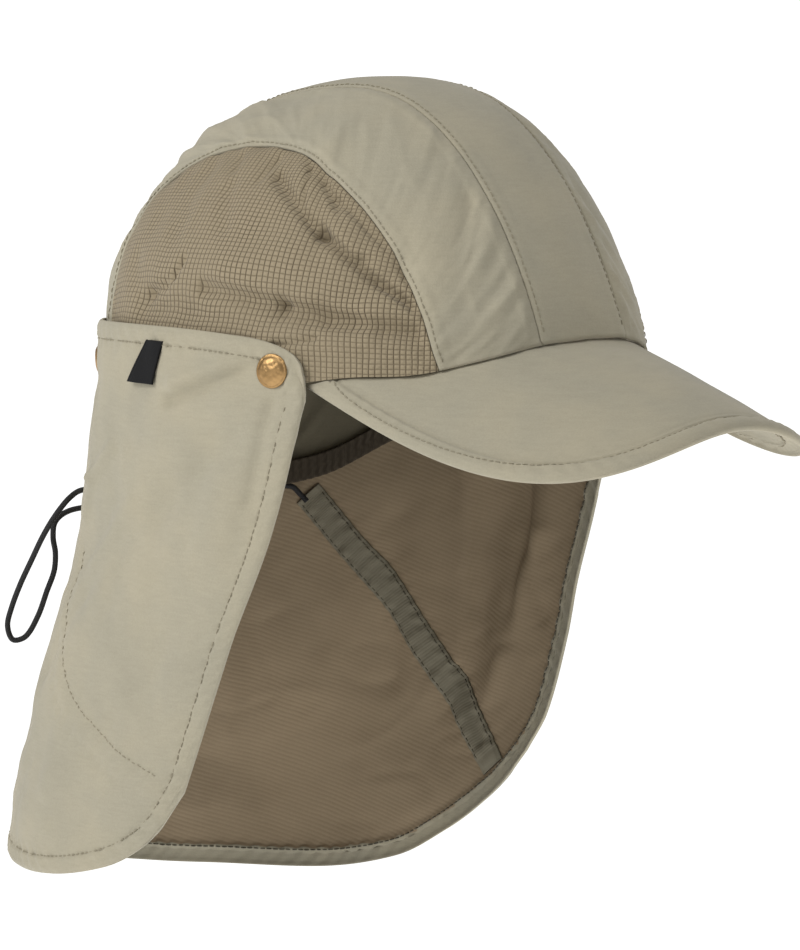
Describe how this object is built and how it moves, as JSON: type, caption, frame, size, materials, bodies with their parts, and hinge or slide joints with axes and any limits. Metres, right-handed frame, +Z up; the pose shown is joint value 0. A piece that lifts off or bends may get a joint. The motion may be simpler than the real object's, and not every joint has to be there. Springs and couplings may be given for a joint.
{
  "type": "sun hat",
  "caption": "Soft sun cap with a curved peak, checked vent panels over the ears and a long flap over the neck, held by snaps.",
  "frame": {"origin": "middle of the head opening, at the height of the rim over the temples", "axes": "+Z up through the crown, -Y towards the tip of the peak, -X towards the wearer's right"},
  "size_m": [0.1786, 0.3146, 0.2926],
  "materials": {
    "crown_cloth": "matt plain-woven nylon, sage",
    "vent_cloth": "matt checked ripstop, tan with dark lines",
    "flap_cloth": "matt plain-woven nylon, light sage, brown and finely ribbed inside",
    "casing_cloth": "matt woven tape, grey green",
    "band_cloth": "matt gathered elastic band, dark",
    "snap_brass": "satin, slightly aged",
    "label_cloth": "matt woven black, bare",
    "cord_elastic": "matt braided black"
  },
  "bodies": {
    "root": {"crown_centre_strip": "crown_cloth", "crown_side_panel_right": "crown_cloth", "crown_side_panel_left": "crown_cloth", "vent_panel_right": "vent_cloth", "vent_panel_left": "vent_cloth", "peak": "crown_cloth", "back_band": "band_cloth", "neck_flap": "flap_cloth", "casing_right": "casing_cloth", "casing_left": "casing_cloth", "snap_front_right": "snap_brass", "snap_back_right": "snap_brass", "snap_front_left": "snap_brass", "snap_back_left": "snap_brass", "label": "label_cloth", "drawcord": "cord_elastic"}
  },
  "joints": []
}
